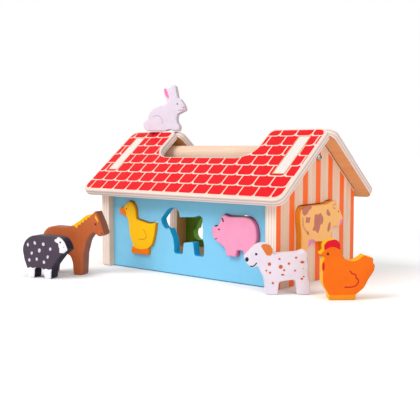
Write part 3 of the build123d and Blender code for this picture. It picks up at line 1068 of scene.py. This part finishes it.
    def build(self, shop: Shop) -> None:
        """Dress both panels and lay their prints."""
        for name, mirrored in (("front", 1.0), ("back", -1.0)):
            turn = Matrix.Diagonal((1.0, mirrored, 1.0, 1.0))
            up = (turn.to_3x3() @ self.face().outward()).normalized()
            slope = -ROOF_SLOPE * mirrored
            finishes = [
                BareWood(f"{name}_roof_top", GrainAxis.X, slope, (238, 219, 204), (226, 198, 178)),
                BareWood(f"{name}_roof_under", GrainAxis.X, slope, (248, 192, 134), (232, 166, 108)),
                PlyEdge(f"{name}_roof_edge", slope=slope, stacked="Z", layer=1.75,
                        light=(246, 230, 224), dark=(214, 188, 178)),
            ]
            shop.dress_copy(
                f"{name}_roof", finishes, lambda face, way=up: self.side_of(face, way), HOUSE
            )
            for title, finish, work in (
                ("tiles", self.red, self.printed_tiles()),
                ("tab_lines", self.tab_ring_ink, self.tab_ring_lines()),
            ):
                bmesh.ops.transform(work, matrix=turn @ self.face().matrix(), verts=work.verts)
                bmesh.ops.recalc_face_normals(work, faces=work.faces)
                shop.finish_piece(f"{name}_roof_{title}", work, [finish], HOUSE)
            LOG.info("%s roof: board, tiles and tab lines", name)

    @staticmethod
    def side_of(face: BMFace, up: Vector) -> int:
        """Index of the finish: 0 on top, 1 underneath and 2 on the edges."""
        share = face.normal.dot(up)
        if share > FACE_SHARE:
            return 0
        return 1 if share < -FACE_SHARE else 2


@dataclass(frozen=True)
class Gables:
    """The two plywood gables with orange stripes printed on their outer faces."""

    FLAT_ANGLE: ClassVar[float] = 0.01      # radians: faces that turn less become one

    wall_reach: float = 67.0
    stripe_width: float = 8.7
    stripe_pitch: float = 23.5
    stripes_each_side: int = 3
    stripe_margin: float = 2.8

    orange: Paint = Paint("stripe_orange", color=(255, 113, 44), shade=(250, 100, 36))
    outside: BareWood = BareWood("gable_outside", light=(246, 216, 194), dark=(218, 180, 152))
    # The faces between the walls take a warmer, deeper tone of the same plywood: painted shade inside the
    # house.
    inside: BareWood = BareWood("gable_inside_shaded", light=(244, 192, 138), dark=(222, 162, 108))
    edge: PlyEdge = PlyEdge("gable_edge", light=(254, 241, 230), dark=(236, 212, 198))
    tab_top: PlyEdge = PlyEdge("tab_top", light=(237, 229, 225), dark=(227, 215, 208))
    outer_face: float = 125.0
    half_depth: float = 73.4
    # Painted shadow: a thin dark brown line where the roof's undersides meet the gable.
    gap_shadow_width: float = 0.8
    gap_shadow_paint: Paint = ink("gap_shadow_ink", (140, 88, 54))

    def gap_shadow_lines(self, side: int) -> BMesh:
        """Painted shadow: fine dark lines on the outer face of a gable, in the gap where the roof's
        undersides meet it.
        """
        work = bmesh.new()
        lean = math.radians(ROOF_SLOPE)
        width = self.gap_shadow_width / math.cos(lean)
        low = RIDGE_HEIGHT - self.half_depth * math.tan(lean)
        for way in (-1, 1):
            reach = way * self.half_depth
            upper = [(0.0, RIDGE_HEIGHT), (reach, low)]
            lower = [(reach, low - width), (0.0, RIDGE_HEIGHT - width)]
            Patch(upper + lower, 0.0).draw(work, 0.0, FILM)
        place = FacePlane(side * self.outer_face, 0.0, 0.0, turn=side * 90.0)
        bmesh.ops.transform(work, matrix=place.matrix(), verts=work.verts)
        return work

    def side_of(self, face: BMFace, side: int) -> int:
        """Index of the finish: 0 outside, 1 between the walls (a deeper tone there as painted shade), 2 on
        the edges and 3 on the tabs.
        """
        if abs(face.normal.x) < FACE_SHARE:
            lean = math.radians(ROOF_SLOPE)
            up_slope = abs(face.normal.y) * math.sin(lean) + face.normal.z * math.cos(lean)
            return 3 if up_slope > FACE_SHARE else 2
        sheltered = abs(face.calc_center_median().y) < self.wall_reach * MM
        return 1 if sheltered and face.normal.x * side < 0 else 0

    def stripes(self, node: Object, side: int) -> BMesh:
        """Stripes cut from the outer face of a gable, the left (-1) or the right one (1)."""
        work = bmesh.new()
        lean = math.radians(ROOF_SLOPE)
        print_top = (RIDGE_HEIGHT - self.stripe_margin / math.cos(lean)) * MM
        for index in range(-self.stripes_each_side, self.stripes_each_side + 1):
            part = merged_solid(node)
            rest = [face for face in part.faces if face.normal.x * side < FACE_SHARE]
            bmesh.ops.delete(part, geom=rest, context="FACES")
            for way in (-1, 1):
                edge = (index * self.stripe_pitch + way * self.stripe_width / 2) * MM
                split(part, (0.0, edge, 0.0), (0.0, way, 0.0), clear=True)
                up_slope = (0.0, way * math.sin(lean), math.cos(lean))
                split(part, (0.0, 0.0, print_top), up_slope, clear=True)
            bmesh.ops.dissolve_limit(
                part, angle_limit=self.FLAT_ANGLE, verts=part.verts, edges=part.edges
            )
            thicken(part, (side * FILM * MM, 0.0, 0.0))
            append(work, part)
        return work

    def build(self, shop: Shop) -> None:
        """Dress both gables and lay their stripes."""
        for name, side in (("left", -1), ("right", 1)):
            node = f"{name}_gable"
            finishes = [self.outside, self.inside, self.edge, self.tab_top]
            scored = (-self.wall_reach * MM, self.wall_reach * MM)
            shop.dress_copy(
                node, finishes, lambda face, way=side: self.side_of(face, way), HOUSE, scored
            )
            stripes = self.stripes(shop.nodes[node], side)
            shop.finish_piece(f"{node}_stripes", stripes, [self.orange], HOUSE)
            shop.finish_piece(f"{node}_gap_shadows", self.gap_shadow_lines(side), [self.gap_shadow_paint], HOUSE)
            LOG.info("%s: board and stripes", node)


@dataclass(frozen=True)
class Walls:
    """The blue front wall and the green back wall, with another tone where they are cut: a darker blue as
    painted shade on the front wall's cut faces, and a lighter green as painted light on the back wall's.
    """

    finishes: tuple[tuple[str, str, Finish, Finish], ...] = (
        (
            "front_wall", "blue_paint",
            Paint("wall_blue", GrainAxis.X, color=(134, 208, 242), shade=(122, 198, 236), fibres=0.06),
            # A darker, deeper blue on the cut faces: painted shade of the same paint.
            Paint("wall_blue_cut_shaded", GrainAxis.X, color=(30, 182, 236), shade=(20, 160, 216), fibres=0.2),
        ),
        (
            "back_wall", "green_paint",
            Paint("wall_green", GrainAxis.X, color=(122, 174, 56), shade=(100, 154, 44), fibres=0.2),
            # A lighter green on the cut faces: painted light of the same paint.
            Paint("wall_green_cut_lit", GrainAxis.X, color=(136, 204, 78), shade=(116, 184, 62), fibres=0.3),
        ),
    )

    def build(self, shop: Shop) -> None:
        """Dress both walls."""
        for node, slot, flat, sawn in self.finishes:
            shop.dress_copy(
                node, [flat, sawn], lambda face: 0 if abs(face.normal.y) > FACE_SHARE else 1, HOUSE
            )
            LOG.info("%s: board", node)


@dataclass(frozen=True)
class Fittings:
    """Floor, handle and pins, which keep their own meshes, and the screws."""

    TOUCH: ClassVar[float] = 0.05   # how near a face has to be to the recess, and to its direction

    finishes: tuple[tuple[str, Finish], ...] = (
        ("floor_panel", BareWood("floor_wood", GrainAxis.X, light=(255, 230, 202), dark=(244, 205, 166))),
        ("handle_dowel", BareWood("handle_wood", GrainAxis.X, light=(247, 224, 204), dark=(230, 186, 152))),
        ("wall_pins", BareWood("pin_wood", GrainAxis.X)),
        ("floor_pins", BareWood("pin_wood", GrainAxis.X)),
    )
    recess_floor: float = 127.2     # its distance from the middle of the house
    steel: Metal = Metal("screw_steel", GrainAxis.X)
    # The cross recess's faces are a dark steel: painted shade in the recess.
    recess: Metal = Metal("screw_recess_shade", GrainAxis.X, color=(46, 40, 36))

    def in_recess(self, face: BMFace) -> int:
        """1 for a face of the cross recess in a screw's head, and 0 for any other."""
        reach = abs(face.calc_center_median().x) / MM
        floor = abs(reach - self.recess_floor) < self.TOUCH and abs(face.normal.x) > 1.0 - self.TOUCH
        side = reach > self.recess_floor + self.TOUCH and abs(face.normal.x) < self.TOUCH
        return int(floor or side)

    def build(self, shop: Shop) -> None:
        """Give each its finish."""
        for node, finish in self.finishes:
            shop.paint_node(node, finish)
        shop.dress_copy("handle_screws", [self.steel, self.recess], self.in_recess, HOUSE)
        LOG.info("handle_screws: heads with a dark recess")


# Studio

@dataclass(frozen=True)
class Lamp:
    """A large soft light that looks at a point."""

    name: str
    place: tuple[float, float, float]
    size: float
    power: float
    target: tuple[float, float, float] = (0.0, 0.0, 0.06)

    def build(self) -> None:
        """Add the light."""
        light = bpy.data.lights.new(self.name, "AREA")
        light.shape = "SQUARE"
        light.size = self.size
        light.energy = self.power
        lamp = bpy.data.objects.new(self.name, light)
        lamp.location = self.place
        look = Vector(self.target) - Vector(self.place)
        lamp.rotation_euler = look.to_track_quat("-Z", "Y").to_euler()
        bpy.context.scene.collection.objects.link(lamp)


@dataclass(frozen=True)
class Studio:
    """Pale floor, white surroundings, soft lights and the photograph's camera."""

    camera_place: tuple[float, float, float] = (0.5427, -0.6577, 0.1375)
    camera_azimuth: float = 40.62
    camera_pitch: float = 4.73
    lens: float = 64.37
    sensor: float = 36.0
    floor_half_size: float = 8.0
    near_glow: float = 0.22
    shade_reach: float = 0.03
    shade_power: float = 2.0
    glow_start: float = 0.35
    glow_end: float = 1.4
    surround: float = 0.54
    white: tuple[float, ...] = (1.0, 1.0, 1.0, 1.0)
    floor_color: tuple[float, ...] = (0.93, 0.93, 0.93, 1.0)
    lamps: tuple[Lamp, ...] = (
        Lamp("key", (-0.35, -1.25, 1.35), 0.9, 18.0),
        Lamp("fill", (1.5, -0.5, 0.7), 1.2, 7.5),
    )

    @staticmethod
    def seen(graph: Graph) -> NodeSocket:
        """1 where the camera, a gloss or clear matter looks, and 0 where light is gathered."""
        path = graph.node("ShaderNodeLightPath")
        either = graph.math("MAXIMUM", path.outputs["Is Camera Ray"], path.outputs["Is Glossy Ray"])
        return graph.math("MAXIMUM", either, path.outputs["Is Transmission Ray"])

    def floor(self) -> None:
        """Add the pale floor, which fades to plain white away from the object; near it, ambient occlusion
        dims its glow as painted contact shade.
        """
        work = bmesh.new()
        bmesh.ops.create_grid(work, x_segments=1, y_segments=1, size=self.floor_half_size)
        floor = make_object("studio_floor", work)
        material = bpy.data.materials.new("studio_floor")
        material.use_nodes = True
        graph = Graph(material.node_tree)
        place = graph.node("ShaderNodeTexCoord").outputs["Object"]
        away = graph.node("ShaderNodeVectorMath", {0: place}, operation="LENGTH").outputs["Value"]
        fade = graph.smooth_step(away, self.glow_start, self.glow_end)
        # Ambient occlusion dims the glow under and beside the house: painted contact shade on the floor.
        contact_shade_occlusion = graph.node("ShaderNodeAmbientOcclusion", {"Distance": self.shade_reach}, samples=8)
        contact_shade_factor = graph.math("POWER", contact_shade_occlusion.outputs["AO"], self.shade_power)
        near = graph.math("MULTIPLY", contact_shade_factor, self.near_glow)
        glow = graph.math("MULTIPLY_ADD", fade, 1.0 - self.near_glow, near)
        graph.fill(material.node_tree.nodes["Principled BSDF"], {
            "Base Color": self.floor_color, "Roughness": 0.9, "Specular IOR Level": 0.0,
            "Emission Color": self.white, "Emission Strength": graph.math("MULTIPLY", glow, self.seen(graph)),
        })
        floor.data.materials.append(material)

    def world(self) -> None:
        """Light everything softly, and show pure white behind the object."""
        world = bpy.data.worlds.new("studio")
        world.use_nodes = True
        graph = Graph(world.node_tree)
        strength = graph.math("MULTIPLY_ADD", self.seen(graph), 1.0 - self.surround, self.surround)
        graph.fill(world.node_tree.nodes["Background"], {"Color": self.white, "Strength": strength})
        bpy.context.scene.world = world

    def camera(self) -> None:
        """Add the camera."""
        lens = bpy.data.cameras.new("photo_camera")
        lens.lens = self.lens
        lens.sensor_width = self.sensor
        lens.clip_start = 0.01
        lens.clip_end = 50.0
        camera = bpy.data.objects.new("photo_camera", lens)
        camera.location = self.camera_place
        turns = (90.0 - self.camera_pitch, 0.0, self.camera_azimuth)
        camera.rotation_euler = [math.radians(turn) for turn in turns]
        bpy.context.scene.collection.objects.link(camera)
        bpy.context.scene.camera = camera

    def build(self) -> None:
        """Add the whole studio."""
        self.floor()
        self.world()
        self.camera()
        for lamp in self.lamps:
            lamp.build()
        bpy.context.scene.view_settings.view_transform = "Standard"
        LOG.info("studio: floor, surroundings, camera and %d lights", len(self.lamps))


def main() -> None:
    """Build the scene."""
    logging.basicConfig(level=logging.INFO, format="%(name)s: %(message)s")
    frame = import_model()
    shop = Shop(frame["nodes"], Paintbox())
    Gables().build(shop)
    Walls().build(shop)
    RoofPanels().build(shop)
    Fittings().build(shop)
    for animal in (duck(), pig(), cow(), dog(), hen(), sheep(), horse(), rabbit()):
        animal.build(shop)
    Studio().build()


if __name__ == "__main__":
    main()
